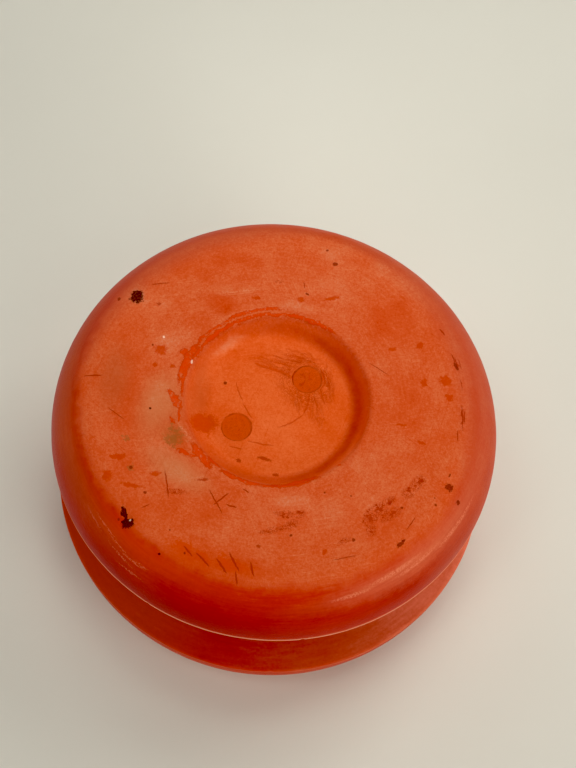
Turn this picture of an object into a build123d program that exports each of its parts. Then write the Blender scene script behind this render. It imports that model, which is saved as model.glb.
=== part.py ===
from build123d import *
import os

# A yo-yo: two solid moulded halves pressed onto a steel axle pin, with a sleeve that turns freely
# on the pin between two washers. The string's loop would sit on the sleeve.
# Frame: origin at the middle of the axle, +Z along the axle towards the upper half, millimetres.

# ---------------------------------------------------------------- driving dimensions
rim_radius = 28.5  # widest radius, at the inner edge of each half
half_width = 15.2  # mid plane to the flat outer face
rim_half_gap = 6.5  # mid plane to the inner rim edge
rim_edge_radius = 0.4  # rounding of that edge

shoulder_reach = 6.2  # how far the rounded shoulder runs in from the rim, along the radius
recess_radius = 11.6  # round recess in the outer face
recess_depth = 2.0
recess_floor_radius = 8.4  # the recess wall is a concave arc from here out to the face
recess_edge_radius = 0.7

mark_radius = 1.9  # two round ejector marks in the recess floor
mark_places = [(-4.7, -3.5), (3.5, 4.0)]
mark_depth = 0.2

string_half_gap = 1.8  # mid plane to the flat string face around the axle
string_flat_radius = 11.5  # the string face is flat to here, then flares out to the rim
string_blend_radius = 8.0

rib_count = 24  # starburst of radial ribs that grips the string
rib_length = 4.6
rib_width = 0.7
rib_height = 0.35
rib_mid_radius = 7.7

pin_radius = 1.6
pin_grip_depth = 8.0  # how much of the pin is held in each half
pin_end_chamfer = 0.4
pin_air = 0.3  # bore left empty beyond the pin's end
grip_groove_count = 4  # rings cut round each end of the pin, which the plastic grips
grip_groove_pitch = 1.4
grip_groove_width = 0.5
grip_groove_depth = 0.15

washer_radius = 4.0
washer_thickness = 0.5
washer_bore_clearance = 0.1
washer_seat_clearance = 0.1

sleeve_radius = 3.2
sleeve_running_clearance = 0.05  # radial, on the pin
sleeve_end_play = 0.05  # at each washer
sleeve_edge_chamfer = 0.25

# ---------------------------------------------------------------- derived dimensions
face_flat_radius = rim_radius - shoulder_reach
shoulder_height = half_width - rim_half_gap
recess_floor_z = half_width - recess_depth
pin_half_length = string_half_gap + pin_grip_depth
bore_depth = pin_grip_depth + pin_air
washer_seat_radius = washer_radius + washer_seat_clearance
sleeve_length = 2 * (string_half_gap - sleeve_end_play)

edge_match = 0.01  # how near an edge's radius has to be to the one looked for

os.makedirs("parts", exist_ok=True)


def ring_edges(part, radius):
    """The circular edges of a part that have the given radius."""
    circles = part.edges().filter_by(GeomType.CIRCLE)
    return circles.filter_by(lambda edge: abs(edge.radius - radius) < edge_match)


# ---------------------------------------------------------------- upper half: one solid moulding
with BuildPart() as upper_half:
    with BuildSketch(Plane.XZ):
        with BuildLine():
            Line((0, string_half_gap), (string_flat_radius, string_half_gap))
            Line((string_flat_radius, string_half_gap), (rim_radius, rim_half_gap))
            EllipticalCenterArc(
                (face_flat_radius, rim_half_gap), shoulder_reach, shoulder_height, arc_size=90
            )
            Line((face_flat_radius, half_width), (recess_radius, half_width))
            TangentArc(
                (recess_floor_radius, recess_floor_z), (recess_radius, half_width), tangent=(1, 0)
            )
            Line((recess_floor_radius, recess_floor_z), (0, recess_floor_z))
            Line((0, recess_floor_z), (0, string_half_gap))
        make_face()
    revolve(axis=Axis.Z)

    fillet(ring_edges(upper_half, rim_radius), rim_edge_radius)
    fillet(ring_edges(upper_half, recess_radius), recess_edge_radius)
    fillet(ring_edges(upper_half, string_flat_radius), string_blend_radius)

    # starburst ribs stand on the flat string face
    with BuildSketch(Plane.XY.offset(string_half_gap)):
        with PolarLocations(rib_mid_radius, rib_count):
            SlotOverall(rib_length, rib_width)
    extrude(amount=-rib_height)

    # ejector marks in the recess floor
    with BuildSketch(Plane.XY.offset(recess_floor_z)):
        with Locations(*mark_places):
            Circle(mark_radius)
    extrude(amount=-mark_depth, mode=Mode.SUBTRACT)

    # blind bore for the pin, with a seat for the washer at its mouth
    with Locations(Plane(origin=(0, 0, string_half_gap), z_dir=(0, 0, -1))):
        CounterBoreHole(
            radius=pin_radius,
            counter_bore_radius=washer_seat_radius,
            counter_bore_depth=washer_thickness,
            depth=bore_depth,
        )
upper_half.part.label = "upper_half"
export_step(upper_half.part, "parts/upper_half.step")


# ---------------------------------------------------------------- lower half: the same moulding, turned over
with BuildPart() as lower_half:
    add(upper_half.part, rotation=(180, 0, 0))
lower_half.part.label = "lower_half"
export_step(lower_half.part, "parts/lower_half.step")


# ---------------------------------------------------------------- axle pin
with BuildPart() as axle_pin:
    Cylinder(pin_radius, 2 * pin_half_length)
    chamfer(axle_pin.edges().filter_by(GeomType.CIRCLE), pin_end_chamfer)
    for side in (-1, 1):
        for ring in range(1, grip_groove_count + 1):
            groove_z = side * (pin_half_length - ring * grip_groove_pitch)
            with BuildSketch(Plane.XY.offset(groove_z)):
                Circle(pin_radius + grip_groove_depth)
                Circle(pin_radius - grip_groove_depth, mode=Mode.SUBTRACT)
            extrude(amount=grip_groove_width / 2, both=True, mode=Mode.SUBTRACT)
axle_pin.part.label = "axle_pin"
export_step(axle_pin.part, "parts/axle_pin.step")


# ---------------------------------------------------------------- axle sleeve: turns freely on the pin
with BuildPart() as axle_sleeve:
    Cylinder(sleeve_radius, sleeve_length)
    chamfer(axle_sleeve.edges().filter_by(GeomType.CIRCLE), sleeve_edge_chamfer)
    Cylinder(pin_radius + sleeve_running_clearance, sleeve_length, mode=Mode.SUBTRACT)
axle_sleeve.part.label = "axle_sleeve"
export_step(axle_sleeve.part, "parts/axle_sleeve.step")


# ---------------------------------------------------------------- washers: one in the seat of each half
with BuildPart() as upper_washer:
    with BuildSketch(Plane.XY.offset(string_half_gap)):
        Circle(washer_radius)
        Circle(pin_radius + washer_bore_clearance, mode=Mode.SUBTRACT)
    extrude(amount=washer_thickness)
upper_washer.part.label = "upper_washer"
export_step(upper_washer.part, "parts/upper_washer.step")

with BuildPart() as lower_washer:
    add(upper_washer.part, rotation=(180, 0, 0))
lower_washer.part.label = "lower_washer"
export_step(lower_washer.part, "parts/lower_washer.step")
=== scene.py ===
import math

import bpy
import numpy as np
from mathutils import Matrix, Vector, noise


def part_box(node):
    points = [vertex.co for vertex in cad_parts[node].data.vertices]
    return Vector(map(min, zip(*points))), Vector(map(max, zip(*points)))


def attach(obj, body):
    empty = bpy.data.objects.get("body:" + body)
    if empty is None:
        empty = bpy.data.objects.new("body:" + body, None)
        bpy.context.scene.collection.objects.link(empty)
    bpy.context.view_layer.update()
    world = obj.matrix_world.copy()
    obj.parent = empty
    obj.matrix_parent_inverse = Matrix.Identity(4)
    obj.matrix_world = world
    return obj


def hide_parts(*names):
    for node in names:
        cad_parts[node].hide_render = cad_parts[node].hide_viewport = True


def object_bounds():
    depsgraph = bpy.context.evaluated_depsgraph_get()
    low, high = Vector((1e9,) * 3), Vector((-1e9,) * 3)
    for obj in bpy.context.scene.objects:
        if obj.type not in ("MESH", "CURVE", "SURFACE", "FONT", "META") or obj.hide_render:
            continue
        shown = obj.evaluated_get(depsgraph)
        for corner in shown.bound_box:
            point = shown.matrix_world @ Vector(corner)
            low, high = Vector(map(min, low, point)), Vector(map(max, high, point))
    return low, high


# A worn orange plastic yo-yo lying on its lower flat face. The two halves are rebuilt as fine lathe
# meshes with their marks, dents and nicks; the axle pin, the sleeve and the washers keep their CAD
# shape. The yo-yo's lengths are in millimetres until a mesh is made, and MM turns them into metres.
# The floor, the lights and the camera are placed in metres.

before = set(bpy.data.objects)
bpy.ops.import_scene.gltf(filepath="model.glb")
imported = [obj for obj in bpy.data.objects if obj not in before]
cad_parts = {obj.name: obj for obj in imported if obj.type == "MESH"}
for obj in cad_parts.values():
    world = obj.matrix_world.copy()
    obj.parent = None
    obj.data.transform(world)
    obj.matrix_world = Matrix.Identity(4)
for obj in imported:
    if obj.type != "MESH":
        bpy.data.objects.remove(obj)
cad_low, cad_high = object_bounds()

MM = 0.001


def to_mm(corner):
    """A corner from the frame, in millimetres."""
    return np.array(corner) / MM


# -------------------- sizes, from the frame
half_high = to_mm(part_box("upper_half")[1])
washer_low, washer_high = (to_mm(corner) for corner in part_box("upper_washer"))
pin_high = to_mm(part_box("axle_pin")[1])

RIM_RADIUS = half_high[0]  # widest radius
HALF_WIDTH = half_high[2]  # mid plane to the flat outer face
STRING_HALF_GAP = washer_low[2]  # mid plane to the flat string face
PIN_RADIUS = pin_high[0]
SEAT_CLEARANCE = 0.1  # round the washer
SEAT_RADIUS = washer_high[0] + SEAT_CLEARANCE
SEAT_DEPTH = washer_high[2] - washer_low[2]
PIN_AIR = 0.3  # bore left empty beyond the pin's end
BORE_END = pin_high[2] + PIN_AIR

RIM_HALF_GAP = 6.5  # mid plane to the rim edge
SHOULDER_REACH = 6.2
RECESS_RADIUS = 11.6
RECESS_DEPTH = 2.0
RECESS_FLOOR_RADIUS = 8.4
STRING_FLAT_RADIUS = 11.5

FACE_FLAT_RADIUS = RIM_RADIUS - SHOULDER_REACH
SHOULDER_HEIGHT = HALF_WIDTH - RIM_HALF_GAP
RECESS_FLOOR = HALF_WIDTH - RECESS_DEPTH

MARK_RADIUS = 1.85
MARK_DEPTH = 0.16
MARK_LIP = 0.03  # height of the fine lip round a mark
EJECTOR_MARKS = [(-4.7, -3.5), (3.5, 4.0)]

RIB_COUNT = 24
RIB_INNER, RIB_OUTER = 5.4, 10.0
RIB_WIDTH = 0.7
RIB_HEIGHT = 0.34  # a hair lower than the CAD's ribs

SWELL, RIPPLE = 0.018, 0.007  # how far the outer surface waves, in broad lumps and in small ones
SWELL_SIZE, RIPPLE_SIZE, RAGGED_SIZE = 7.0, 1.6, 0.8  # the lumps' width, and that of ragged edges
SKIN = 0.025  # how far the outer surface lies inside the CAD's, so that no wave passes it
DENT_DEPTH = 0.14
GROOVE_DEPTH = 0.04  # of the flow wrinkles in the recess

COLUMNS = 480  # twenty round each rib
CURVE_POINTS = 200  # along each run of the section, before it is cut into rows
ROUNDING_ROWS = 4
SAME_ROW = 1e-4  # rows nearer than this are one
SHARP_ANGLE = 50  # degrees between faces whose shading isn't joined


# -------------------- the half's section
def straight(start, end):
    """Close points along a straight run of the section, as (radius, height)."""
    share = np.linspace(0, 1, CURVE_POINTS)[:, None]
    return np.array(start) * (1 - share) + np.array(end) * share


def arc(centre, reach, rise, start, end):
    """Close points along an elliptical arc, angles in degrees from the radius direction."""
    turn = np.radians(np.linspace(start, end, CURVE_POINTS))
    return np.stack([centre[0] + reach * np.cos(turn), centre[1] + rise * np.sin(turn)], axis=1)


def lengths(points):
    """Distance along a run at each of its points."""
    return np.concatenate([[0], np.cumsum(np.linalg.norm(np.diff(points, axis=0), axis=1))])


def portion(points, start, end, rows):
    """Evenly spaced points of a run between two distances along it."""
    along = lengths(points)
    wanted = np.linspace(start, end, rows)
    return np.stack([np.interp(wanted, along, column) for column in points.T], axis=1)


def rounded(before, corner, after, rows):
    """A rounded corner between two points, as a quadratic curve that leaves both ends in line."""
    share = np.linspace(0, 1, rows + 2)[1:-1, None]
    return before * (1 - share) ** 2 + 2 * corner * share * (1 - share) + after * share**2


def section(runs):
    """The section's rows. Each run is (points, row spacing, reach of the rounding at its end)."""
    rows = []
    trim = 0.0
    for number, (points, spacing, reach) in enumerate(runs):
        total = lengths(points)[-1]
        count = max(2, int(round((total - trim - reach) / spacing)) + 1)
        rows.append(portion(points, trim, total - reach, count))
        if reach:
            following = runs[number + 1][0]
            next_start = portion(following, reach, reach, 1)[0]
            rows.append(rounded(rows[-1][-1], points[-1], next_start, ROUNDING_ROWS))
        trim = reach
    joined = np.concatenate(rows)
    keep = np.concatenate([[True], np.linalg.norm(np.diff(joined, axis=0), axis=1) > SAME_ROW])
    return joined[keep]


def half_section():
    """From the middle of the recess out over the face, round the rim and in to the blind bore."""
    wall_radius = ((RECESS_RADIUS - RECESS_FLOOR_RADIUS) ** 2 + RECESS_DEPTH**2) / (2 * RECESS_DEPTH)
    wall_turn = math.degrees(math.asin((RECESS_RADIUS - RECESS_FLOOR_RADIUS) / wall_radius))
    wall_centre = (RECESS_FLOOR_RADIUS, RECESS_FLOOR + wall_radius)
    shoulder_centre = (FACE_FLAT_RADIUS, RIM_HALF_GAP)
    rim = (RIM_RADIUS, RIM_HALF_GAP)
    string_edge = (STRING_FLAT_RADIUS, STRING_HALF_GAP)
    seat_mouth = (SEAT_RADIUS, STRING_HALF_GAP)
    seat_corner = (SEAT_RADIUS, STRING_HALF_GAP + SEAT_DEPTH)
    bore_mouth = (PIN_RADIUS, STRING_HALF_GAP + SEAT_DEPTH)
    bore_corner = (PIN_RADIUS, BORE_END)
    return section([
        (straight((0, RECESS_FLOOR), (RECESS_FLOOR_RADIUS, RECESS_FLOOR)), 0.16, 0),
        (arc(wall_centre, wall_radius, wall_radius, -90, -90 + wall_turn), 0.22, 0.44),
        (straight((RECESS_RADIUS, HALF_WIDTH), (FACE_FLAT_RADIUS, HALF_WIDTH)), 0.36, 0),
        (arc(shoulder_centre, SHOULDER_REACH, SHOULDER_HEIGHT, 90, 0), 0.36, 0.36),
        (straight(rim, string_edge), 0.7, 1.0),
        (straight(string_edge, seat_mouth), 0.25, 0.05),
        (straight(seat_mouth, seat_corner), 0.3, 0),
        (straight(seat_corner, bore_mouth), 1.2, 0),
        (straight(bore_mouth, bore_corner), 4.0, 0),
        (straight(bore_corner, (0, BORE_END)), 0.8, 0),
    ])


# -------------------- relief of the moulding
def smooth(value, low, high):
    """0 below low, 1 above high, and a smooth step between."""
    share = np.clip((value - low) / (high - low), 0, 1)
    return share * share * (3 - 2 * share)


def heading(degrees):
    """The direction at an angle from +X, as (x, y)."""
    return math.cos(math.radians(degrees)), math.sin(math.radians(degrees))


def cloud(x, y, z, size, seed):
    """Smooth noise from -1 to 1 whose lumps are about size wide."""
    shift = Vector((seed * 17.3, seed * 5.1, seed * 9.7))
    return np.array([noise.noise(Vector(point) / size + shift) for point in zip(x, y, z)])


def outside_part(radius, height):
    """True on the outer face, the recess and the shoulder, and not on the string side."""
    return height > RIM_HALF_GAP - 0.05 * (RIM_RADIUS - radius)


def ejector_relief(x, y, radius, height):
    """The round pin marks in the recess floor, each a shallow step with a fine lip round it."""
    relief = np.zeros_like(x)
    on_floor = (height > RECESS_FLOOR - 0.1) & (radius < RECESS_FLOOR_RADIUS)
    for mark_x, mark_y in EJECTOR_MARKS:
        away = np.hypot(x - mark_x, y - mark_y)
        relief -= MARK_DEPTH * (1 - smooth(away, MARK_RADIUS - 0.12, MARK_RADIUS + 0.06))
        relief += MARK_LIP * np.exp(-(((away - MARK_RADIUS - 0.16) / 0.1) ** 2))
    return np.where(on_floor, relief, 0)


def rib_relief(x, y, radius, height):
    """The starburst of ribs on the string face."""
    turn = np.arctan2(y, x)
    pitch = 2 * math.pi / RIB_COUNT
    across = np.abs((turn + pitch / 2) % pitch - pitch / 2) * radius
    rib = 1 - smooth(across, RIB_WIDTH / 2 - 0.15, RIB_WIDTH / 2 + 0.08)
    along = smooth(radius, RIB_INNER - 0.3, RIB_INNER + 0.1)
    along = along * (1 - smooth(radius, RIB_OUTER - 0.1, RIB_OUTER + 0.3))
    return np.where(height < RIM_HALF_GAP, RIB_HEIGHT * rib * along, 0)


def closeness(x, y, shape):
    """How near each point is to a mark: 0 on its middle line and 1 at its edge."""
    middle_x, middle_y, half_length, half_width, turn, bend = shape
    cosine, sine = heading(turn)
    along = (cosine * (x - middle_x) + sine * (y - middle_y)) / half_length
    across = (cosine * (y - middle_y) - sine * (x - middle_x)) / half_width
    across = across - along**2 * bend * half_length**2 / (2 * half_width)
    return np.hypot(along, across)


def in_scene(name, data):
    """An object in the scene, from a mesh, a light or a camera."""
    made = bpy.data.objects.new(name, data)
    bpy.context.scene.collection.objects.link(made)
    return made


def half_mesh(name, seed, dents, grooves, nicks):
    """One half, built as the upper one. dents are (x, y, radius), grooves are the shapes of flow
    wrinkles, and nicks are (degrees, length, depth) on the rim."""
    rows = half_section()
    poles = rows[0], rows[-1]
    rows = rows[1:-1]
    tangent = np.gradient(rows, axis=0)
    tangent /= np.linalg.norm(tangent, axis=1)[:, None]
    normal = np.stack([-tangent[:, 1], tangent[:, 0]], axis=1)

    turn = np.linspace(0, 2 * math.pi, COLUMNS, endpoint=False)
    radius = np.repeat(rows[:, 0], COLUMNS)
    height = np.repeat(rows[:, 1], COLUMNS)
    cosine = np.tile(np.cos(turn), len(rows))
    sine = np.tile(np.sin(turn), len(rows))
    x, y = radius * cosine, radius * sine
    out_r = np.repeat(normal[:, 0], COLUMNS)
    out_z = np.repeat(normal[:, 1], COLUMNS)

    outside = outside_part(radius, height)
    waves = SWELL * cloud(x, y, height, SWELL_SIZE, seed)
    waves += RIPPLE * cloud(x, y, height, RIPPLE_SIZE, seed + 1)
    relief = np.where(outside, waves - SKIN, 0)
    relief += ejector_relief(x, y, radius, height) + rib_relief(x, y, radius, height)
    ragged = 0.25 * cloud(x, y, height, RAGGED_SIZE, seed + 2)
    for dent_x, dent_y, dent_radius in dents:
        away = np.hypot(x - dent_x, y - dent_y) / dent_radius + ragged
        relief -= np.where(outside, DENT_DEPTH * (1 - smooth(away, 0.45, 1.1)), 0)
    for shape in grooves:
        near = closeness(x + 0.3 * ragged, y - 0.3 * ragged, shape)
        relief -= np.where(outside, GROOVE_DEPTH * (1 - smooth(near, 0.3, 1.3)), 0)
    for degrees, length, depth in nicks:
        nick_x, nick_y = heading(degrees)
        turned = np.arctan2(sine * nick_x - cosine * nick_y, cosine * nick_x + sine * nick_y)
        along = RIM_RADIUS * turned
        near_edge = np.exp(-(((height - RIM_HALF_GAP) / 0.5) ** 2))
        near_edge = near_edge * smooth(radius, RIM_RADIUS - 1, RIM_RADIUS - 0.2)
        relief -= depth * near_edge * (1 - smooth(np.abs(along) / length + ragged, 0.2, 0.6))

    radius = radius + out_r * relief
    height = height + out_z * relief
    verts = np.stack([radius * cosine, radius * sine, height], axis=1)
    verts = np.concatenate([verts, [[0, 0, poles[0][1] - SKIN], [0, 0, poles[1][1]]]])

    count = len(rows)
    index = np.arange(count * COLUMNS).reshape(count, COLUMNS)
    beside = np.roll(index, -1, axis=1)
    quads = np.stack([index[:-1], index[1:], beside[1:], beside[:-1]], axis=-1).reshape(-1, 4)
    first_pole, last_pole = count * COLUMNS, count * COLUMNS + 1
    fans = [(first_pole, *pair) for pair in zip(index[0].tolist(), beside[0].tolist())]
    fans += [(last_pole, *pair) for pair in zip(beside[-1].tolist(), index[-1].tolist())]

    mesh = bpy.data.meshes.new(name)
    mesh.from_pydata((verts * MM).tolist(), [], quads.tolist() + fans)
    mesh.validate()
    mesh.shade_smooth()
    mesh.set_sharp_from_angle(angle=math.radians(SHARP_ANGLE))
    return in_scene(name, mesh)


# -------------------- node helpers
def srgb(red, green, blue):
    """A colour given in 0 to 255 display values, as linear RGBA."""
    def linear(value):
        value = value / 255
        return value / 12.92 if value <= 0.04045 else ((value + 0.055) / 1.055) ** 2.4
    return (linear(red), linear(green), linear(blue), 1.0)


class Nodes:
    """A material's node tree, with one short call for each kind of node it needs."""

    def __init__(self, name, finish):
        self.material = bpy.data.materials.new(name)
        self.material.use_nodes = True
        self.tree = self.material.node_tree
        self.tree.nodes.clear()
        self.output = self.tree.nodes.new("ShaderNodeOutputMaterial")
        self.shader = self.tree.nodes.new("ShaderNodeBsdfPrincipled")
        self.tree.links.new(self.shader.outputs[0], self.output.inputs["Surface"])
        for socket, value in finish.items():
            self.shader.inputs[socket].default_value = value

    def node(self, kind, inputs, **settings):
        made = self.tree.nodes.new(kind)
        for setting, value in settings.items():
            setattr(made, setting, value)
        for key, value in inputs.items():
            self.feed(made.inputs[key], value)
        return made

    def feed(self, socket, value):
        """Links a socket to another one's output, or sets it to a plain value."""
        if isinstance(value, bpy.types.NodeSocket):
            self.tree.links.new(value, socket)
        else:
            socket.default_value = value

    def finish(self, colour, roughness, normal):
        self.feed(self.shader.inputs["Base Color"], colour)
        self.feed(self.shader.inputs["Roughness"], roughness)
        self.feed(self.shader.inputs["Normal"], normal)
        return self.material

    def math(self, operation, a, b=0.0, c=0.0):
        return self.node("ShaderNodeMath", {0: a, 1: b, 2: c}, operation=operation).outputs[0]

    def scaled(self, value, gain, base):
        """value times gain, plus base."""
        return self.math("MULTIPLY_ADD", value, gain, base)

    def most(self, a, b):
        return self.math("MAXIMUM", a, b)

    def apart(self, a, b):
        """How far apart two values are."""
        return self.math("ABSOLUTE", self.math("SUBTRACT", a, b))

    def total(self, *parts):
        """The sum of values, each given alone or as (value, gain)."""
        result = 0.0
        for part in parts:
            value, gain = part if isinstance(part, tuple) else (part, 1.0)
            result = self.scaled(value, gain, result)
        return result

    def product(self, *parts):
        result = parts[0]
        for part in parts[1:]:
            result = self.math("MULTIPLY", result, part)
        return result

    def vector(self, operation, a, b=(0, 0, 0), c=(0, 0, 0)):
        return self.node("ShaderNodeVectorMath", {0: a, 1: b, 2: c}, operation=operation).outputs["Vector"]

    def joined(self, x=0.0, y=0.0, z=0.0):
        return self.node("ShaderNodeCombineXYZ", {"X": x, "Y": y, "Z": z}).outputs[0]

    def parts(self, vector):
        return self.node("ShaderNodeSeparateXYZ", {0: vector}).outputs[:3]

    def length(self, vector):
        return self.node("ShaderNodeVectorMath", {0: vector}, operation="LENGTH").outputs["Value"]

    def millimetres(self, flip):
        """Object coordinates in millimetres, turned over for a half that is built upside down."""
        place = self.node("ShaderNodeTexCoord", {}).outputs["Object"]
        return self.vector("MULTIPLY", place, (1 / MM, flip / MM, flip / MM))

    def noise(self, vector, size, detail=2.0, roughness=0.5, colour=False):
        """Noise whose lumps are about size wide. A value, or with colour=True three of them."""
        inputs = {"Vector": vector, "Scale": 1 / size, "Detail": detail, "Roughness": roughness}
        return self.node("ShaderNodeTexNoise", inputs).outputs["Color" if colour else "Fac"]

    def local(self, place, centre, turn, size):
        """A place seen from centre, turned by turn degrees and divided by size along its two sides."""
        inputs = {"Vector": place, "Location": (centre[0], centre[1], 0.0),
                  "Rotation": (0, 0, math.radians(turn)), "Scale": (size[0], size[1], 1.0)}
        return self.node("ShaderNodeMapping", inputs, vector_type="TEXTURE").outputs["Vector"]

    def step(self, value, low, high, top=1.0):
        """0 below low, top above high, smooth between. low may be above high."""
        inputs = {"Value": value, "From Min": low, "From Max": high, "To Max": top}
        return self.node("ShaderNodeMapRange", inputs, interpolation_type="SMOOTHSTEP").outputs["Result"]

    def range(self, value, low, high):
        """A 0 to 1 value spread from low to high."""
        inputs = {"Value": value, "To Min": low, "To Max": high}
        return self.node("ShaderNodeMapRange", inputs).outputs["Result"]

    def blend(self, factor, a, b):
        """Colour a where factor is 0, colour b where it is 1."""
        made = self.node("ShaderNodeMix", {"Factor": factor}, data_type="RGBA")
        sockets = {socket.identifier: socket for socket in made.inputs}
        self.feed(sockets["A_Color"], a)
        self.feed(sockets["B_Color"], b)
        return next(socket for socket in made.outputs if socket.identifier == "Result_Color")

    def ramp(self, value, stops):
        """A colour that runs through stops, each (place from 0 to 1, colour)."""
        made = self.node("ShaderNodeValToRGB", {"Fac": value})
        elements = made.color_ramp.elements
        while len(elements) < len(stops):
            elements.new(0.5)
        for element, (place, colour) in zip(elements, stops):
            element.position = place
            element.color = colour
        return made.outputs["Color"]

    def nearest(self, plan, marks):
        """How far the nearest mark is: 0 on its middle line and 1 at its edge. plan is (x, y, 1)."""
        best = None
        for x, y, half_length, half_width, turn, bend in marks:
            cosine, sine = heading(turn)
            middle_along, middle_across = cosine * x + sine * y, cosine * y - sine * x
            along = self.dot(plan, np.array((cosine, sine, -middle_along)) / half_length)
            across = self.dot(plan, np.array((-sine, cosine, -middle_across)) / half_width)
            square = self.product(along, along)
            if bend:
                across = self.scaled(square, -bend * half_length**2 / (2 * half_width), across)
            square = self.scaled(across, across, square)
            best = square if best is None else self.math("MINIMUM", best, square)
        return self.math("SQRT", best)

    def dot(self, a, b):
        return self.node("ShaderNodeVectorMath", {0: a, 1: b}, operation="DOT_PRODUCT").outputs["Value"]

    def distance(self, place, point):
        return self.node("ShaderNodeVectorMath", {0: place, 1: point}, operation="DISTANCE").outputs["Value"]

    def bump(self, height, depth):
        """A bump whose full height is depth millimetres."""
        return self.node("ShaderNodeBump", {"Height": height, "Distance": depth * MM}).outputs["Normal"]


# -------------------- the shapes of marks, in plan
# Each mark is (x, y, half length, half width, turn in degrees, bend in 1/mm).
def oval(x, y, half_length, half_width, turn=0):
    return (x, y, half_length, half_width, turn, 0.0)


def dot(x, y, radius):
    return (x, y, radius, radius, 0, 0.0)


def line(start, end, width, bend=0.0):
    """A tapered stroke between two points. A positive bend curves to the left on the way."""
    run = np.subtract(end, start)
    half = np.linalg.norm(run) / 2
    left = np.array([-run[1], run[0]]) / (2 * half)
    x, y = np.add(start, end) / 2 - left * bend * half**2 / 2
    return (float(x), float(y), float(half), width / 2, math.degrees(math.atan2(run[1], run[0])), bend)


def ring(start, end, radius, width):
    """A tapered stroke that follows a circle about the axle, between two angles in degrees."""
    middle = (start + end) / 2
    half = radius * math.radians(abs(end - start)) / 2
    cosine, sine = heading(middle)
    return (radius * cosine, radius * sine, half, width / 2, middle + 90, 1 / radius)


# -------------------- worn orange plastic
# The lighter stops also serve as painted light and highlight where the deep colour is lifted on the lit side.
DEEP_STOPS = [(0.25, srgb(172, 22, 0)), (0.5, srgb(194, 44, 8)), (0.75, srgb(206, 84, 48)),
              (1.0, srgb(232, 122, 94))]
WORN_STOPS = [(0.0, srgb(198, 62, 20)), (0.35, srgb(208, 84, 43)), (0.6, srgb(215, 104, 64)),
              (1.0, srgb(215, 138, 104))]
RECESS_STOPS = [(0.0, srgb(206, 65, 13)), (0.35, srgb(221, 89, 38)), (0.6, srgb(231, 109, 60)),
                (1.0, srgb(234, 142, 102))]
RESIDUE_ORANGE = srgb(216, 56, 6)
STAIN_ORANGE = srgb(196, 58, 8)
RUST = srgb(168, 42, 12)
BROWN = srgb(138, 40, 20)
DARK_BROWN = srgb(78, 14, 8)
OLIVE = srgb(152, 90, 44)
TAN_HAZE = srgb(200, 124, 82)
PAINTED_BROWN_SHADE = srgb(178, 86, 50)
RING_RED = srgb(184, 50, 20)
PAINTED_ROSE_SHEEN = srgb(180, 88, 68)
PAINTED_LIP_SHADE = srgb(190, 46, 4)
SPLASH = srgb(206, 66, 14)
PAINTED_DEEP_SHADE = srgb(150, 4, 0)
WRINKLE = srgb(198, 56, 10)
PAINTED_CREST_LIGHT = srgb(240, 116, 58)
TAN = srgb(222, 142, 104)
CHALK_AND_GLINT = srgb(244, 204, 178)
SCUFF_AND_HIGHLIGHT_PINK = srgb(232, 136, 100)
# Rubbing and painted highlight along the rim's edge.
EDGE_RUB_AND_HIGHLIGHT = srgb(240, 168, 136)
PAINTED_RECESS_SHADE = srgb(164, 22, 0)
DISC_ORANGE = srgb(196, 66, 10)
DISC_STEP_SHADE = srgb(150, 38, 4)
# Painted reflection on the wall over the rim.
PAINTED_WALL_REFLECTION = srgb(204, 74, 32)

RECESS_SHADE_RADIUS = 10.5  # middle of the painted shade on the recess wall
FACE_WEAR_RADIUS = 24.9  # where the scuffed face gives way to the glossy ring
SHOULDER_WEAR_RADIUS = 26.7  # middle of the scuffed belt outside that ring
LIT_SIDE = (0.62, 0.78, 0.0)  # the lit side, towards which the pale worn colour reaches further out as painted light
SHEEN = 0.045  # mirror strength, where 0.5 is what the refractive index gives
SHEEN_TINT = (1, 0.55, 0.38, 1)


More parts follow.
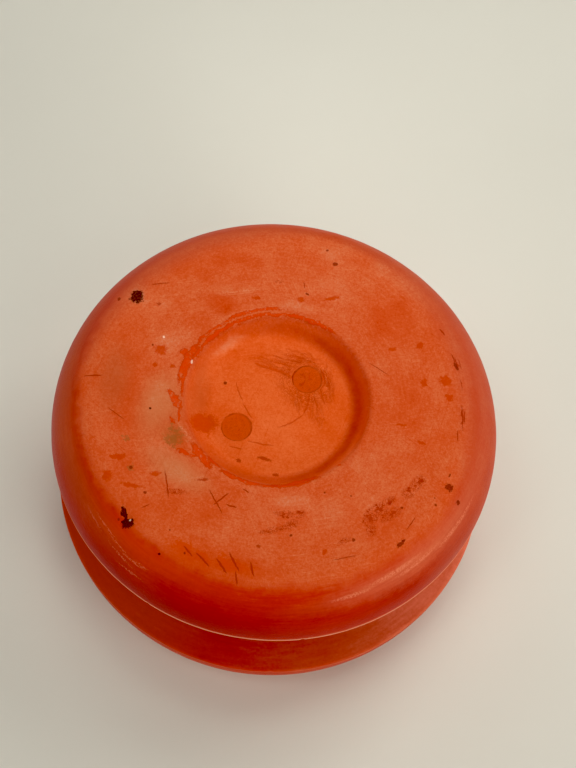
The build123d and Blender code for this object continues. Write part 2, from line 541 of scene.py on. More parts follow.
class WornPlastic(Nodes):
    """The halves' plastic: deep and glossy where it is unworn, paler and scuffed on the flat face, with
    painted light, shade and highlights laid into its colour.
    """

    def __init__(self, name, flip, seed):
        super().__init__(name, {"IOR": 1.5, "Specular IOR Level": SHEEN, "Specular Tint": SHEEN_TINT})
        mm = self.millimetres(flip)
        x, y, self.height = self.parts(mm)
        flat = self.joined(x, y)
        self.plan = self.joined(x, y, 1.0)
        self.radius = self.length(flat)
        self.direction = self.vector("NORMALIZE", flat)
        self.right = self.dot(self.direction, (1, 0, 0))
        self.outer = self.step(self.height, RIM_HALF_GAP + 0.4, RIM_HALF_GAP + 1.4)
        self.place = self.vector("ADD", mm, (seed * 31.0, seed * 17.0, 0.0))

        self.big = self.centred(self.noise(self.place, 9.0, 3, 0.55))
        self.middle = self.centred(self.noise(self.place, 2.4, 4, 0.6))
        self.grain = self.centred(self.noise(self.place, 0.42, 4, 0.75))
        self.fine = self.centred(self.noise(self.place, 0.2, 2, 0.7))
        self.streaks = self.around(7, 2.2, 4)
        self.tremble = self.shaken(0.5, 0.3)
        self.ragged = self.shaken(1.0, 1.0, self.shaken(0.3, 0.35))

    def centred(self, value):
        return self.math("SUBTRACT", value, 0.5)

    def shaken(self, size, reach, plan=None):
        """The plan position, shaken about by noise."""
        shake = self.vector("SUBTRACT", self.noise(self.place, size, 3, 0.65, colour=True), (0.5, 0.5, 0.5))
        return self.vector("MULTIPLY_ADD", shake, (reach, reach, 0), plan or self.plan)

    def around(self, turns, rate, detail):
        """Noise in streaks that run round the axle, about 1 / rate millimetres apart."""
        along = self.vector("MULTIPLY", self.direction, (turns, turns, 0))
        across = self.product(self.math("SUBTRACT", self.radius, self.height), rate)
        return self.noise(self.vector("ADD", along, self.joined(z=across)), 1.0, detail, 0.65)

    def hairs(self, turn, length, width, low, high):
        """Straight fine scratches, all at one angle, in loose groups."""
        seen = self.local(self.place, (0, 0), turn, (length, width))
        groups = self.step(self.noise(self.local(self.place, (turn, 0), turn, (9, 5)), 1.0, 1), 0.45, 0.6)
        return self.product(self.step(self.noise(seen, 1.0, 1), low, high), groups)

    def lines(self, field, level, width):
        """Thin lines where a field of noise crosses a level."""
        return self.step(self.apart(field, level), width, width * 0.3)

    def wear(self):
        """How scuffed the surface is: the flat face and a weaker belt on the shoulder, and as painted light
        the pale colour over most of the lit side.
        """
        towards_light = self.dot(self.direction, LIT_SIDE)
        edge = self.total(self.radius, (towards_light, -0.7), (self.middle, 2.6), (self.grain, 1.4))
        face = self.step(edge, FACE_WEAR_RADIUS + 1.0, FACE_WEAR_RADIUS - 0.7)
        off_belt = self.math("ABSOLUTE", self.total(self.radius, (self.middle, 1.6), -SHOULDER_WEAR_RADIUS))
        front = self.dot(self.direction, (0, -1, 0))
        belt = self.product(self.step(off_belt, 1.6, 0.2), self.range(self.streaks, 0.2, 0.8),
                            self.step(front, 0.98, 0.7), self.scaled(towards_light, 0.2, 0.6))
        # Painted light: the pale scuffed colour over most of the side the lamps light.
        side = self.product(self.step(towards_light, -0.5, 0.7), self.range(self.streaks, 0.4, 0.75))
        rubbed_and_lit = self.most(self.most(face, belt), side)
        return self.product(rubbed_and_lit, self.outer)

    def bleaching(self, blooms_and_highlight):
        """How far the worn plastic has gone pale, from 0 to 1. One listed patch is a painted highlight."""
        pale_hairs = self.most(self.hairs(14, 5.0, 0.13, 0.62, 0.7), self.hairs(118, 4.0, 0.12, 0.62, 0.7))
        self.dark_hairs = self.most(self.hairs(76, 4.5, 0.12, 0.64, 0.72),
                                    self.hairs(-38, 3.5, 0.12, 0.64, 0.72))
        polish = self.centred(self.around(5, 3.2, 3))
        bleach = self.total((self.big, 0.55), (self.middle, 0.5), (self.grain, 0.8), (self.fine, 0.5),
                            (polish, 0.25), (pale_hairs, 0.13), (self.dark_hairs, -0.18), 0.43)
        for gain, patch in blooms_and_highlight:
            near = self.nearest(self.ragged, [patch])
            bleach = self.math("ADD", bleach, self.step(near, 1.4, 0.1, gain))
        return bleach

    def moulding_marks(self, colour):
        """Painted shade in the recess's corner, darker on the right, and darker discs at its ejector marks
        with painted shade in the step round each.
        """
        # Painted shade: the recess's corner darkened, more on the right.
        corner = self.math("ABSOLUTE", self.total(self.radius, (self.right, 0.4), -RECESS_SHADE_RADIUS))
        recess_shade = self.product(self.step(corner, 1.35, 0.1), self.outer, self.scaled(self.middle, 0.8, 0.7),
                             self.scaled(self.right, 0.45, 0.6))
        colour = self.blend(recess_shade, colour, PAINTED_RECESS_SHADE)
        self.discs = 0.0
        for mark_x, mark_y in EJECTOR_MARKS:
            away = self.distance(self.tremble, (mark_x, mark_y, 1))
            inside = self.product(self.step(away, MARK_RADIUS + 0.05, MARK_RADIUS - 0.15), self.outer)
            # Painted shade in the step round each mark.
            rim = self.step(self.apart(away, MARK_RADIUS), 0.14, 0.03)
            rim = self.product(rim, self.outer, self.scaled(self.middle, 2.5, 0.6))
            colour = self.blend(self.product(inside, 0.6), colour, DISC_ORANGE)
            colour = self.blend(rim, colour, DISC_STEP_SHADE)
            self.discs = self.most(self.discs, rim)
        return colour

    def flow_lines(self, colour):
        """Fine wavy lines where the plastic flowed round an ejector mark, with a painted highlight along
        their crests.
        """
        mark_x, mark_y = EJECTOR_MARKS[1]
        off = self.vector("SUBTRACT", self.ragged, (mark_x, mark_y, 1))
        away = self.length(off)
        along = self.vector("MULTIPLY", self.vector("NORMALIZE", off), (1.4, 1.4, 0))
        field = self.noise(self.vector("ADD", along, self.joined(z=self.product(away, 2.2))), 1.0, 2)
        near = self.product(self.step(away, 1.7, 2.1), self.step(away, 5.0, 2.6), self.outer,
                            self.step(self.radius, RECESS_FLOOR_RADIUS, RECESS_FLOOR_RADIUS - 1))
        ridges = self.most(self.lines(field, 0.42, 0.035), self.lines(field, 0.5, 0.03))
        self.flow = self.product(self.most(ridges, self.lines(field, 0.58, 0.035)), near)
        # Painted highlight along the crests beside the wrinkles.
        crest_light = self.most(self.lines(field, 0.46, 0.03), self.lines(field, 0.54, 0.03))
        colour = self.blend(self.product(crest_light, near, 0.4), colour, PAINTED_CREST_LIGHT)
        return self.blend(self.product(self.flow, 0.55), colour, WRINKLE)

    def marked(self, colour, marks):
        """Adds groups of marks, each (colour, strength, style, shapes), and keeps their relief."""
        self.raised, self.cut = 0.0, 0.0
        fleck = self.noise(self.place, 0.5, 3, 0.75)
        for tint, strength, style, shapes in marks:
            near = self.nearest(self.tremble if style in ("spot", "cut", "scuff") else self.ragged, shapes)
            if style == "smear":  # broken into small flecks
                mask = self.step(self.math("SUBTRACT", fleck, self.product(near, 0.2)), 0.28, 0.4)
            elif style == "crackle":  # a net of short lines and flecks
                net = self.most(self.lines(fleck, 0.47, 0.035), self.step(fleck, 0.54, 0.6))
                mask = self.product(self.step(near, 1.25, 0.8), net)
            elif style == "ripple":  # wavy ridges along the first shape
                turn = shapes[0][4]
                field = self.noise(self.local(self.ragged, (0, 0), turn, (3.0, 0.55)), 1.0, 1)
                waves = self.most(self.lines(field, 0.43, 0.045), self.lines(field, 0.54, 0.045))
                mask = self.product(self.step(near, 1.3, 0.6), waves)
                self.cut = self.most(self.cut, self.product(mask, 0.6))
            elif style == "haze":  # a faint soft area, also used for painted light and shade
                mask = self.product(self.step(near, 1.3, 0.1), self.range(self.streaks, 0.6, 1.2))
            elif style == "stain":  # soft-edged
                mask = self.step(self.total(near, (self.grain, 1.4)), 1.25, 0.65)
            elif style == "residue":  # crisp and ragged, darker at its edge, and stands a little proud
                near = self.total(near, (self.middle, 0.9), (self.grain, 0.9))
                mask = self.product(self.step(near, 1.08, 0.92), self.step(fleck, 0.35, 0.45),
                                    self.scaled(self.grain, 1.6, 0.9))
                border = self.step(self.apart(near, 0.98), 0.24, 0.06)
                self.raised = self.most(self.raised, mask)
            elif style == "blot":  # with a broken edge and a flecked middle
                near = self.total(near, (self.grain, 0.9), (self.fine, 0.8))
                mask = self.product(self.step(near, 1.1, 0.85), self.scaled(self.fine, -1.0, 0.98))
                self.cut = self.most(self.cut, mask)
            elif style == "scuff":  # broken along its length
                mask = self.product(self.step(near, 1.2, 0.3), self.step(self.fine, -0.12, 0.1))
            else:  # "spot", or "cut", which is cut into the surface
                mask = self.step(near, 1.15, 0.8)
                self.cut = self.most(self.cut, mask) if style == "cut" else self.cut
            colour = self.blend(self.product(mask, self.outer, strength), colour, tint)
            if style == "residue":
                colour = self.blend(self.product(border, self.outer, 0.6), colour, WRINKLE)
        return colour

    def rim(self, colour, rubbed_and_lit):
        """A thin pale line above the rim's edge, partly rubbed and partly a painted highlight, and a wall
        over it lightened on the right by a painted reflection.
        """
        rise = self.math("SUBTRACT", self.height, RIM_HALF_GAP)
        wall = self.step(self.radius, RIM_RADIUS - 1.2, RIM_RADIUS - 0.5)
        right = self.step(self.right, 0.1, 0.7)
        # Painted reflection: the wall over the rim is lightened on the right, towards the lamps.
        wall_reflection = self.product(self.step(rise, 1.2, 0.4), self.step(rise, -0.1, 0.3), wall, right, 0.2)
        colour = self.blend(wall_reflection, colour, PAINTED_WALL_REFLECTION)
        # Painted highlight: a thin pale line along the rim's edge, partly real rubbing.
        top = self.total(rise, (self.middle, 0.6), (self.fine, 0.3))
        edge_line = self.product(self.step(top, 0.8, 0.42), self.step(rise, 0.06, 0.3), wall, rubbed_and_lit,
                           self.scaled(self.middle, 1.4, 0.85))
        return self.blend(edge_line, colour, EDGE_RUB_AND_HIGHLIGHT)

    def build(self, blooms_and_highlight, marks, rubbed_and_lit):
        """The material, built up in layers."""
        worn = self.wear()
        bleach = self.bleaching(blooms_and_highlight)
        scuffed = self.ramp(bleach, WORN_STOPS)
        inside = self.step(self.radius, RECESS_RADIUS, RECESS_RADIUS - 0.6)
        calmer = self.scaled(bleach, 0.65, 0.16)
        scuffed = self.blend(inside, scuffed, self.ramp(calmer, RECESS_STOPS))
        high = self.step(self.total(self.height, (self.middle, 2.0)), 10.4, 14.4)
        inner = self.math("SUBTRACT", 1.0, self.outer)
        # Painted light: the deep colour is lifted on the right, where the lamps are, and on the lit part of
        # the string face; it is also lighter higher up.
        lit = self.most(self.scaled(self.right, 0.85, 0.24), self.product(self.right, -0.45))
        lit_string_face = self.product(lit, inner, self.step(self.radius, 18, 28), 1.15)
        depth = self.total((self.streaks, 0.35), (self.right, 0.12), (lit_string_face, 0.4), (self.big, 0.3),
                           (self.grain, 0.25), (high, 0.2), (inner, 0.08), 0.13)
        deep = self.ramp(depth, DEEP_STOPS)
        # Painted shade: the string face browned on the left, away from the lamps.
        painted_left_shade = self.product(inner, self.step(self.right, -0.1, -0.6), self.step(self.radius, 17, 26), 0.3)
        deep = self.blend(painted_left_shade, deep, PAINTED_BROWN_SHADE)
        colour = self.rim(self.blend(worn, deep, scuffed), rubbed_and_lit)
        colour = self.moulding_marks(colour)
        colour = self.flow_lines(colour)
        colour = self.marked(colour, marks)

        gloss = self.scaled(inner, 0.24, self.range(self.streaks, 0.2, 0.46))
        dull = self.scaled(self.grain, 0.6, 0.52)
        roughness = self.scaled(worn, self.math("SUBTRACT", dull, gloss), gloss)

        relief = self.total((self.middle, 0.06), (self.grain, 0.03), (self.fine, 0.015),
                            (self.streaks, 0.012), (self.cut, -0.05), (self.raised, 0.03),
                            (self.discs, -0.04), (self.flow, -0.025), (self.dark_hairs, -0.008))
        normal = self.bump(relief, 1.0)
        return self.finish(colour, roughness, normal)


# -------------------- each half's own wear, with painted light and shade
UPPER_BLOOMS_AND_HIGHLIGHT = [  # (how much paler or deeper, shape)
    (0.22, oval(-14.6, -1.4, 3.8, 2.6, 80)),
    (0.2, oval(-13.4, 6.6, 3, 1.5, 25)),
    (0.18, oval(-11.4, -10.6, 5, 2.3, -28)),
    (0.2, oval(3, -13.3, 3, 1.3)),
    (0.14, oval(7.5, -15, 2.4, 2.6)),
    (0.14, oval(-7, 14.6, 4, 0.9, 10)),
    (0.2, oval(2.6, 13.1, 3.2, 0.8, -5)),
    (0.2, ring(190, 262, 12.4, 1.4)),
    (0.16, ring(92, 140, 12.8, 1.6)),
    (0.16, oval(5.6, 21.4, 2.4, 1.2)),
    (0.14, oval(13, 18.6, 4, 1.5, -40)),
    (0.16, oval(-19, 12.4, 1.9, 1.8)),
    # Painted highlight on the recess's upper-left wall.
    (0.6, ring(118, 147, 10.2, 1.4)),
    (0.1, oval(1, -3.5, 4.5, 3.5)),
    (-0.22, oval(-8, 12.4, 2.3, 1.5)),
    (-0.12, oval(12.6, 12.4, 3.4, 2.6, 30)),
    (-0.14, oval(-6.5, 19.2, 3.4, 1)),
    (-0.24, oval(-3.5, -22.2, 7.5, 1.7, -4)),
    (-0.14, oval(14.2, -14.6, 3.2, 2, 35)),
    (-0.12, oval(16.6, 1.5, 2, 4)),
    (-0.16, oval(2, 9.2, 4, 1.4, -12)),
    (-0.12, oval(-9.4, -0.5, 1.2, 4)),
]
UPPER_MARKS = [  # (colour, strength, style, shapes)
    # Painted highlight: a pink sheen low on the right of the shoulder.
    (SCUFF_AND_HIGHLIGHT_PINK, 0.4, "haze", [ring(-78, -10, 26.3, 2.6)]),
    # Painted reflection: a pink sheen on the lit right and top of the shoulder.
    (PAINTED_ROSE_SHEEN, 0.5, "haze", [ring(-50, 100, 25.6, 7), ring(60, 196, 25.2, 6.4)]),
    # Painted shade and dark reflection on the left of the shoulder.
    (PAINTED_BROWN_SHADE, 0.5, "haze", [ring(150, 236, 26.4, 4), oval(-20.4, 0.5, 2.6, 5.4)]),
    (TAN_HAZE, 0.52, "haze", [oval(-14.3, -2.6, 5.4, 3.4, 80), oval(-11.4, -10.8, 5.2, 2.4, -28)]),
    # Painted shade on the recess's right wall and lip.
    (PAINTED_LIP_SHADE, 0.55, "haze", [ring(-46, 86, 11.1, 2)]),
    (RING_RED, 0.4, "haze", [ring(-26, 40, 24.8, 1.9), ring(36, 112, 24.8, 1.9)]),
    (RUST, 0.5, "crackle", [dot(3.5, 4, 1.5)]),
    (RUST, 0.4, "crackle", [dot(-4.7, -3.5, 1.5)]),
    (WRINKLE, 0.45, "ripple", [oval(-0.8, 5.6, 3.2, 1.3, -12), oval(2.4, 7, 3, 0.9, -12)]),
    (WRINKLE, 0.4, "ripple", [
        oval(6.1, 3.6, 3.2, 1, 98), oval(4.9, -0.3, 2.4, 1, 112), oval(3.2, 0.6, 1.6, 1.2, 118)]),
    (SPLASH, 0.6, "haze", [
        oval(-9.4, -21.2, 3.6, 1.3, -25), oval(-3.4, -22.4, 3.6, 0.9, -4), ring(206, 262, 25.4, 2.6)]),
    # Painted shade low on the front of the shoulder, just above the rim.
    (PAINTED_DEEP_SHADE, 0.6, "haze", [ring(214, 288, 28.4, 1.7)]),
    (OLIVE, 0.4, "haze", [oval(-12.1, -6.4, 1.7, 1.6)]),
    # Painted shade on the recess's left wall.
    (PAINTED_BROWN_SHADE, 0.4, "haze", [oval(-9.8, 0.3, 1.6, 6)]),
    (OLIVE, 0.6, "smear", [
        oval(-12, -6.7, 1, 1.1), oval(-17.8, -7.4, 0.6, 0.3, 10), dot(-16.8, -11.1, 0.4),
        oval(-12.6, -5.6, 0.3, 0.8)]),
    (STAIN_ORANGE, 0.75, "stain", [
        oval(-8.8, -3.5, 1.7, 1.5), oval(-15.1, 5.1, 0.85, 0.7), oval(-19.5, -12.4, 0.5, 0.7, 20),
        oval(20.7, 4.7, 0.85, 0.7), oval(13.8, 8.4, 0.5, 0.35, 20), oval(5.7, 14.8, 1.1, 0.4, 25),
        oval(1.8, 14.2, 0.5, 0.35), dot(-13.4, 3.1, 0.35), dot(-15.5, 3, 0.3), oval(18.1, 4.1, 0.4, 0.6),
        oval(17.3, 9.2, 0.5, 0.4), oval(21.3, 2.5, 0.5, 0.4), oval(-3.9, 13.8, 0.4, 0.3),
        dot(7.3, -19.6, 0.35), oval(18.2, -4.1, 0.6, 0.25), oval(15.6, -2, 0.7, 0.2),
        oval(-18.6, -9.9, 0.9, 0.4, 10), oval(-16.4, -13.4, 1.3, 0.3, -5), oval(-13.8, -11.6, 0.8, 0.3, 10)]),
    (RUST, 0.8, "crackle", [
        oval(17.9, -9.6, 1.4, 0.7, 55), oval(16.9, -10.8, 0.9, 0.7, 60), oval(14.6, -12.2, 0.9, 0.5, 35),
        oval(13.2, -13.8, 1.6, 0.9, 35), oval(12.3, -14.9, 0.6, 1), oval(15, -13.9, 1.5, 0.6, 40),
        oval(2.2, -15.2, 1.2, 0.45), oval(4, -15, 0.8, 0.4, 20), oval(3, -16.5, 1.2, 0.5, 30),
        oval(0.9, -17.4, 1.6, 0.4, 15), oval(-11, -13.7, 1.3, 0.4), oval(12.7, -16.1, 0.6, 0.8),
        oval(9.6, -17.9, 0.9, 0.4, 30), oval(-1.2, 16.4, 0.45, 0.25, 10)]),
    (RUST, 0.65, "smear", [
        oval(18, -9.5, 0.6, 0.25, 55), oval(17, -10.6, 0.35, 0.3), oval(14.8, -12.1, 0.5, 0.25, 35),
        oval(13.4, -13.5, 0.7, 0.3, 35), oval(12.5, -14.6, 0.3, 0.45), oval(15.2, -13.6, 0.5, 0.22, 40),
        oval(2.3, -15.1, 0.6, 0.22), oval(4, -14.9, 0.35, 0.2), oval(3.1, -16.4, 0.5, 0.22, 30),
        oval(0.4, -17.5, 0.6, 0.2, 10), oval(23.1, -0.1, 0.25, 1.1), oval(22.1, 7, 0.3, 0.5)]),
    (SPLASH, 0.7, "smear", [
        oval(-9.2, -20.4, 1.5, 0.7, -24), oval(-6.9, -21.8, 1.5, 0.6, -50),
        oval(-4.4, -21.9, 1.2, 0.5, -60)]),
    (RUST, 0.7, "stain", [
        oval(-0.9, -7.5, 0.9, 0.24, -8), dot(-4, -8, 0.26), oval(0.7, -9.4, 0.34, 0.2, 10),
        line((-8.9, -11.9), (-7.1, -11.7), 0.3), dot(-16.2, 11.6, 0.2), dot(-0.5, -19.5, 0.25)]),
    (RESIDUE_ORANGE, 0.8, "residue", [
        ring(86, 130, 11.8, 0.45), ring(92, 126, 12.6, 0.5), ring(116, 158, 11.8, 0.5),
        ring(118, 150, 12.5, 0.36), ring(150, 176, 12.4, 0.9), ring(158, 182, 11.9, 0.4),
        ring(56, 100, 11.8, 0.5), oval(-12.3, 5.2, 0.45, 0.4), line((-13.5, -0.2), (-11.8, -2.6), 1),
        line((-12, -2.6), (-11.7, -4.3), 0.26), line((-12.9, -4), (-12.3, -4.8), 0.34),
        line((-9.8, -7.2), (-7.3, -10), 1), line((-11.5, -8.2), (-9, -8.9), 0.4),
        line((-7.8, -8.6), (-6.2, -10.1), 0.3), line((-5.9, -10.4), (-3.8, -11.3), 0.7),
        ring(244, 276, 11.8, 0.45), line((0.2, -11.6), (2.6, -11.3), 0.5),
        line((2, -11.4), (5.8, -9.9), 0.95), dot(8.3, -8, 0.18)]),
    (RUST, 0.8, "cut", [  # fine scratches
        line((-24.2, 0.6), (-21.8, 0.8), 0.18), line((-17.4, 14.3), (-15.2, 14.8), 0.15, 0.04),
        line((-12.7, -11), (-11.8, -14.5), 0.18), line((-14.9, -16.2), (-14, -15.6), 0.15),
        line((-6.4, -14.9), (-4.7, -13.2), 0.18), line((-3.1, -12.4), (-2.3, -12.9), 0.18),
        line((-7.1, -13), (-5.2, -15.9), 0.16), line((-4.9, -14.6), (-3.6, -14.9), 0.2, 0.3),
        line((-5.3, -21.6), (-3.9, -23.3), 0.26), line((-3.9, -20.7), (-2.5, -22.9), 0.24),
        line((-1.3, -21.6), (-0.7, -23.4), 0.22), line((-7.8, -21.1), (-6.1, -22.6), 0.22),
        line((-2.9, -22.9), (-2.6, -24.4), 0.2), line((-9.3, -20.4), (-8.2, -21.6), 0.2),
        line((1.9, 16.8), (2.1, 15.9), 0.14), line((21.3, 8.6), (21.8, 7.4), 0.16),
        line((19.6, 12), (20.4, 11.2), 0.24), line((11, 6.2), (13.6, 4.7), 0.1),
        line((8.4, -20.4), (11.2, -19.5), 0.1), line((-20.6, -3.5), (-18.4, -4.9), 0.12),
        line((17, -15.6), (17.9, -13.9), 0.14), line((22.9, 1.6), (23.1, -1.6), 0.13),
        line((23.3, 0.9), (23.3, -0.9), 0.11), line((22.5, -1.9), (22.6, -3.4), 0.13),
        line((22.6, 5.2), (22.9, 3.6), 0.11), line((21.7, 8.2), (22.3, 6.4), 0.13),
        line((22.2, 8), (22.7, 6.6), 0.11)]),
    (WRINKLE, 0.5, "cut", [  # flow wrinkles in the recess
        line((-3.4, 5.6), (-0.4, 4.9), 0.4, 0.1), line((-0.9, 5), (1.9, 3.8), 0.42, -0.12),
        line((-1.5, 6), (1, 5.6), 0.2, -0.1), line((0, 6.4), (2.6, 6.2), 0.2, -0.15),
        line((0.3, 7.1), (3.4, 6.6), 0.18, -0.15), line((-1.2, 7), (0.3, 6.6), 0.16, 0.2),
        line((5, 5.8), (5.8, 3.4), 0.22, -0.15), line((5.7, 5.4), (6.4, 2.7), 0.2, -0.1),
        line((5.3, 2.9), (6, 0.8), 0.22, 0.2), line((4.5, 2.1), (5.2, 0.2), 0.2, 0.25),
        line((3.9, 2.1), (3.4, -0.9), 0.2, -0.16), line((3.4, -0.9), (0.4, -3), 0.2, -0.14),
        line((-5.4, 2.7), (-4.3, 0.1), 0.14, 0.08), line((-4.2, -0.2), (-2.8, -2.2), 0.18, 0.1),
        line((-3.1, -5.2), (0.1, -5.5), 0.2, 0.09), line((-5.4, -6.2), (-3.6, -6.4), 0.16),
        line((2.9, 4.8), (3.3, 4.1), 0.2), line((3.7, 4.7), (3.8, 3.9), 0.2),
        line((3.2, 3.7), (2.8, 3.1), 0.18)]),
    (BROWN, 0.85, "spot", [
        oval(-21.3, 12, 0.2, 0.3), dot(-6.7, 2.35, 0.22), oval(5.75, 19.9, 0.36, 0.28),
        dot(4.55, 21.85, 0.15), oval(2.5, 15.1, 0.3, 0.14, -25), oval(21.95, 6.9, 0.2, 0.6, 25),
        dot(-14.7, -14.15, 0.22), dot(-9.1, -21.3, 0.14), dot(20.3, -12, 0.16), dot(20.1, -11.2, 0.1),
        dot(10.7, -17.6, 0.22), dot(3.2, -17.8, 0.16), dot(-16.8, -11.1, 0.22), dot(-16.2, 5.7, 0.12),
        oval(21.8, -8, 0.12, 0.3, -20), dot(6.8, -11.9, 0.12), dot(10, -12, 0.12),
        dot(-17.5, -17.6, 0.14), dot(-11.2, -18.6, 0.1), dot(16.2, -12.9, 0.18)]),
    (DARK_BROWN, 0.95, "blot", [
        oval(-19.05, 12.3, 0.9, 0.98), oval(-16.3, -18.1, 0.72, 0.6, 20),
        line((-17.2, -16), (-16.4, -18), 0.6)]),
    (BROWN, 0.9, "blot", [
        oval(21.9, -9.4, 0.48, 0.46), oval(23.2, -10.9, 0.36, 0.26, 20), oval(16.4, -17.3, 0.62, 0.27, 45)]),
    (DARK_BROWN, 0.9, "spot", [dot(-15.45, -3, 0.14), dot(-12.1, -21.5, 0.15), dot(-16.9, -17.9, 0.2)]),
    # Painted highlight streaks on the lower right of the shoulder, broken like scuffs.
    (SCUFF_AND_HIGHLIGHT_PINK, 0.6, "scuff", [
        ring(-62, -42, 26, 0.5), ring(-54, -36, 26.5, 0.4), ring(-40, -20, 26.8, 0.4),
        ring(-72, -58, 26.3, 0.4)]),
    # Scuffs on the lower left of the shoulder, with a painted highlight where they catch the light.
    (SCUFF_AND_HIGHLIGHT_PINK, 0.4, "scuff", [
        line((-20.6, -16.2), (-17.2, -20), 0.18, 0.03), line((-19, -18.4), (-15.6, -21.7), 0.16, 0.03),
        line((-18.8, -19.4), (-15, -22.8), 0.16, 0.03), line((-17.2, -20.6), (-13.4, -23.2), 0.2, 0.03),
        line((-17.6, -21.4), (-13.6, -24), 0.14, 0.03), line((-21.6, -15.6), (-19.4, -18.6), 0.16, 0.03),
        line((-15.2, -21.9), (-13.2, -23.1), 0.24, 0.03)]),
    (TAN, 0.6, "scuff", [
        line((-12.1, -4.4), (-9.7, -7), 0.34), line((-9.2, 13.7), (-2.4, 15.3), 0.24, -0.02)]),
    # White specks; the last one, on the dark blot, is a painted glint.
    (CHALK_AND_GLINT, 0.85, "spot", [oval(-11.1, 3.9, 0.15, 0.26), dot(-14.95, 6.95, 0.15), dot(-16.05, -17.7, 0.09)]),
]
LOWER_BLOOMS = [
    (0.36, oval(12.5, -6, 4.4, 2.8, 40)),
    (0.26, oval(-14.5, -9, 3.6, 2.2, -15)),
    (0.16, oval(4, 17.6, 4.4, 1.4, 8)),
    (-0.2, oval(-6, 13.6, 3.4, 1.6, 20)),
    (-0.2, oval(-17.5, 6, 2.4, 3.2)),
    (-0.16, oval(8, -19.4, 4.4, 1.6, 12)),
]
LOWER_MARKS = [
    (STAIN_ORANGE, 0.75, "stain", [
        oval(6, -19, 0.9, 0.7, 30), oval(9.4, 3, 1.2, 0.9, 50), oval(-17.6, 2.2, 0.6, 0.5),
        oval(-10.4, -16, 1, 0.35, 20), oval(17.8, 9, 0.5, 0.7)]),
    (RUST, 0.8, "smear", [
        oval(-14, 13, 1.2, 0.7, 40), oval(-12.4, 14.6, 0.7, 0.5), oval(17, 2, 0.6, 1.1),
        oval(1.5, 18.6, 1, 0.4, 10)]),
    (RESIDUE_ORANGE, 0.85, "residue", [
        ring(20, 62, 12, 0.4), ring(196, 222, 12, 0.6), line((10.6, -6.4), (8.8, -8.6), 0.6),
        ring(268, 292, 11.9, 0.25)]),
    (RUST, 0.7, "cut", [
        line((-9.4, -17.6), (-6.6, -16.4), 0.14), line((18.4, -11), (17.6, -9), 0.14),
        line((14, 4.6), (16.4, 6.4), 0.12), line((-20, -6), (-18.6, -8.4), 0.14)]),
    (WRINKLE, 0.7, "cut", [
        line((4.6, 5.6), (6.4, 3.4), 0.24, -0.1), line((0.6, 6.2), (3, 6.4), 0.22, -0.12),
        line((-3.6, -5.8), (-1, -6), 0.2, 0.1), line((1.6, 3), (-1.4, 4.6), 0.3, 0.1)]),
    (BROWN, 0.85, "spot", [
        dot(-3, 17.5, 0.24), dot(11, 13.6, 0.16), dot(-19, -3.6, 0.18), dot(3.6, -15.2, 0.2)]),
    (DARK_BROWN, 0.95, "cut", [oval(14, 16.5, 0.6, 0.5), oval(-20.5, 7, 0.35, 0.3)]),
    # Pink scuff streaks on the shoulder, with painted highlight as on the upper half.
    (SCUFF_AND_HIGHLIGHT_PINK, 0.7, "scuff", [
        ring(30, 52, 26.3, 0.45), ring(150, 176, 26.6, 0.4), ring(232, 250, 26.2, 0.4)]),
    (CHALK_AND_GLINT, 0.8, "scuff", [line((12, -22.6), (15.4, -20.4), 0.25, 0.03)]),
]


# -------------------- the halves
def dents_in(marks):
    """A dent for each spot of dark brown, as (x, y, radius)."""
    return [shape[:3] for tint, _, _, shapes in marks if tint == DARK_BROWN for shape in shapes]


def grooves_in(marks):
    """The shapes of the flow wrinkles."""
    wrinkles = [shapes for tint, _, style, shapes in marks if tint == WRINKLE and style == "cut"]
    return [shape for group in wrinkles for shape in group]


# nicks on the rim, each (degrees, length, depth)
UPPER_NICKS = [(-78, 0.5, 0.14), (-118, 0.4, 0.08), (-31, 0.6, 0.08), (40, 0.7, 0.1), (152, 0.5, 0.12)]
LOWER_NICKS = [(-60, 0.5, 0.1), (-135, 0.8, 0.1), (85, 0.6, 0.12), (10, 0.4, 0.08)]

upper = half_mesh("upper_half_moulding", 1, dents_in(UPPER_MARKS), grooves_in(UPPER_MARKS), UPPER_NICKS)
# The last number sets the rim line's rubbing and painted highlight.
upper.data.materials.append(WornPlastic("upper_half_plastic", 1, 1).build(UPPER_BLOOMS_AND_HIGHLIGHT, UPPER_MARKS, 0.9))
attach(upper, "yoyo")
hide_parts("upper_half")

lower = half_mesh("lower_half_moulding", 5, dents_in(LOWER_MARKS), grooves_in(LOWER_MARKS), LOWER_NICKS)
lower.data.transform(Matrix.Rotation(math.pi, 4, "X"))
lower.data.materials.append(WornPlastic("lower_half_plastic", -1, 4).build(LOWER_BLOOMS, LOWER_MARKS, 0.18))
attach(lower, "yoyo")
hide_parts("lower_half")


# -------------------- axle parts
def simple_finish(name, dark, light, roughness, metallic, grain_size):
    """Steel or nylon: a cloudy colour, uneven gloss and a fine grain."""
    nodes = Nodes(name, {"IOR": 1.5, "Metallic": metallic})
    place = nodes.millimetres(1)
    cloudy = nodes.noise(place, 1.4, detail=4, roughness=0.6)
    grain = nodes.noise(place, grain_size, detail=3, roughness=0.6)
    uneven = nodes.range(grain, roughness - 0.12, roughness + 0.12)
    return nodes.finish(nodes.blend(cloudy, dark, light), uneven, nodes.bump(grain, 0.01))


def refinish(node, material):
    """Gives a carried-over CAD node a better material."""
    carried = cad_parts[node]
    carried.data.materials.clear()
    carried.data.materials.append(material)


steel = simple_finish("axle_steel", srgb(122, 120, 118), srgb(176, 174, 170), 0.34, 1.0, 0.12)
zinc = simple_finish("washer_steel", srgb(132, 132, 130), srgb(186, 186, 184), 0.42, 1.0, 0.2)
nylon = simple_finish("sleeve_nylon", srgb(214, 206, 186), srgb(232, 226, 210), 0.42, 0.0, 0.25)
refinish("axle_pin", steel)
refinish("upper_washer", zinc)
refinish("lower_washer", zinc)
refinish("axle_sleeve", nylon)


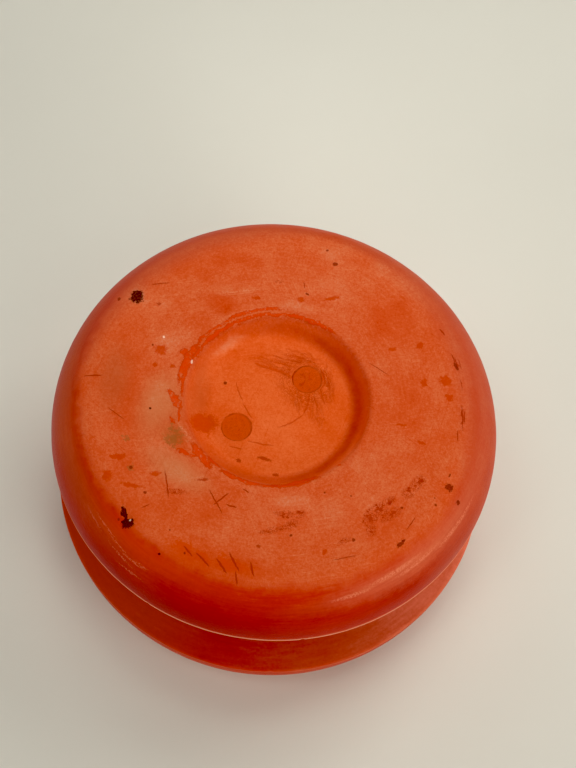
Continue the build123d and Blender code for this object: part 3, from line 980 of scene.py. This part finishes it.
# -------------------- floor, light and camera
WARM_WHITE = (1.0, 0.985, 0.93)
COOL_WHITE = (0.96, 1.0, 0.97)
FLOOR_DARK, FLOOR_LIGHT = srgb(224, 220, 208), srgb(230, 227, 216)
FLOOR_REACH = 0.45  # from the middle to each side
HAZE = (0.93, 0.95, 0.9, 1)
BLACK_LEVEL = 0.012  # a little contrast in the shadows, as a camera gives
LAMP_RADIUS = 0.08
EYE = Vector((0.0, -0.0880, 0.2005))  # the camera's place
LOOKED_AT = Vector((0.0012, 0.0077, 0.0037))
EYE_ROLL = 6.3  # degrees
LENS = 77.66  # millimetres, on a 36 mm sensor
WINDOWS = [  # (name, azimuth, elevation, distance, side, power, colour)
    ("window_back_right", 45, 45, 0.5, 0.3, 0.88, WARM_WHITE),
    ("window_back_left", 135, 45, 0.5, 0.3, 0.22, COOL_WHITE),
    ("window_left", 180, 18, 1.4, 0.5, 1.65, WARM_WHITE),
    ("window_front_left", 225, 18, 1.4, 0.5, 2.96, WARM_WHITE),
    ("window_front_right", -45, 18, 0.6, 0.22, 0.8, WARM_WHITE),
    ("window_front_right_high", -45, 45, 0.5, 0.3, 0.41, WARM_WHITE),
]
LAMPS = [  # (name, place, target, angle, power, colour)
    ("lamp_behind", (0.02, 0.2, 0.4), (0.01, 0.04, 0), 30, 1.0, WARM_WHITE),
    ("lamp_above", (0.02, 0.09, 0.45), (0.01, 0.035, 0), 24, 1.79, WARM_WHITE),
    ("lamp_above_left", (-0.12, -0.08, 0.4), (-0.01, 0, 0), 26, 1.02, WARM_WHITE),
]
HAZE_LOW, HAZE_TOP = 0.2, 0.6  # sines of the heights at which the haze starts to fade and ends
HAZE_LIGHT, OVERHEAD_LIGHT = 0.5, 0.09


def floor():
    """A plain pale surface under the yo-yo, faintly uneven in colour."""
    mesh = bpy.data.meshes.new("floor")
    sides = [(-1, -1), (1, -1), (1, 1), (-1, 1)]
    corners = [(x * FLOOR_REACH, y * FLOOR_REACH, cad_low[2]) for x, y in sides]
    mesh.from_pydata(corners, [], [(0, 1, 2, 3)])
    nodes = Nodes("pale_floor", {"IOR": 1.45, "Roughness": 0.6})
    cloudy = nodes.noise(nodes.millimetres(1), 40.0, detail=3)
    nodes.feed(nodes.shader.inputs["Base Color"], nodes.blend(cloudy, FLOOR_DARK, FLOOR_LIGHT))
    mesh.materials.append(nodes.material)
    plane = in_scene("floor", mesh)


def light(name, kind, place, target, power, colour, **settings):
    """A light at one place that faces another."""
    data = bpy.data.lights.new(name, kind)
    data.energy = power
    data.color = colour
    for setting, value in settings.items():
        setattr(data, setting, value)
    made = in_scene(name, data)
    made.location = place
    made.rotation_euler = (Vector(target) - Vector(place)).to_track_quat("-Z", "Y").to_euler()


def window(name, azimuth, elevation, distance, side, power, colour):
    """A soft square light that faces the yo-yo. Angles are in degrees."""
    turn = Matrix.Rotation(math.radians(azimuth), 3, "Z") @ Matrix.Rotation(-math.radians(elevation), 3, "Y")
    light(name, "AREA", turn @ Vector((distance, 0, 0)), (0, 0, 0), power, colour, size=side)


def lamp(name, place, target, angle, power, colour):
    """A soft round pool of light, with its full angle in degrees."""
    light(name, "SPOT", place, target, power, colour, spot_size=math.radians(angle), spot_blend=1.0,
          shadow_soft_size=LAMP_RADIUS)


def camera():
    """Looks down on the yo-yo from the front, a little rolled."""
    data = bpy.data.cameras.new("camera")
    data.sensor_width = 36
    data.lens = LENS
    data.clip_start = 0.01
    eye = in_scene("camera", data)
    turn = (LOOKED_AT - EYE).to_track_quat("-Z", "Y").to_matrix().to_4x4()
    eye.matrix_world = Matrix.Translation(EYE) @ turn @ Matrix.Rotation(math.radians(EYE_ROLL), 4, "Z")
    bpy.context.scene.camera = eye


def surroundings():
    """A pale haze low down all round, which fades out overhead."""
    world = bpy.data.worlds.new("room")
    world.use_nodes = True
    tree = world.node_tree
    background = tree.nodes["Background"]
    background.inputs["Color"].default_value = HAZE
    toward = tree.nodes.new("ShaderNodeTexCoord").outputs["Generated"]
    axes = tree.nodes.new("ShaderNodeSeparateXYZ")
    tree.links.new(toward, axes.inputs["Vector"])
    fade = tree.nodes.new("ShaderNodeMapRange")
    fade.interpolation_type = "SMOOTHSTEP"
    tree.links.new(axes.outputs["Z"], fade.inputs["Value"])
    levels = {"From Min": HAZE_TOP, "From Max": HAZE_LOW, "To Min": OVERHEAD_LIGHT, "To Max": HAZE_LIGHT}
    for socket, value in levels.items():
        fade.inputs[socket].default_value = value
    tree.links.new(fade.outputs["Result"], background.inputs["Strength"])
    bpy.context.scene.world = world
    view = bpy.context.scene.view_settings
    view.view_transform = "Standard"
    view.use_curve_mapping = True
    view.curve_mapping.black_level = (BLACK_LEVEL,) * 3
    view.curve_mapping.update()


floor()
for window_light in WINDOWS:
    window(*window_light)
for lamp_light in LAMPS:
    lamp(*lamp_light)
camera()
surroundings()
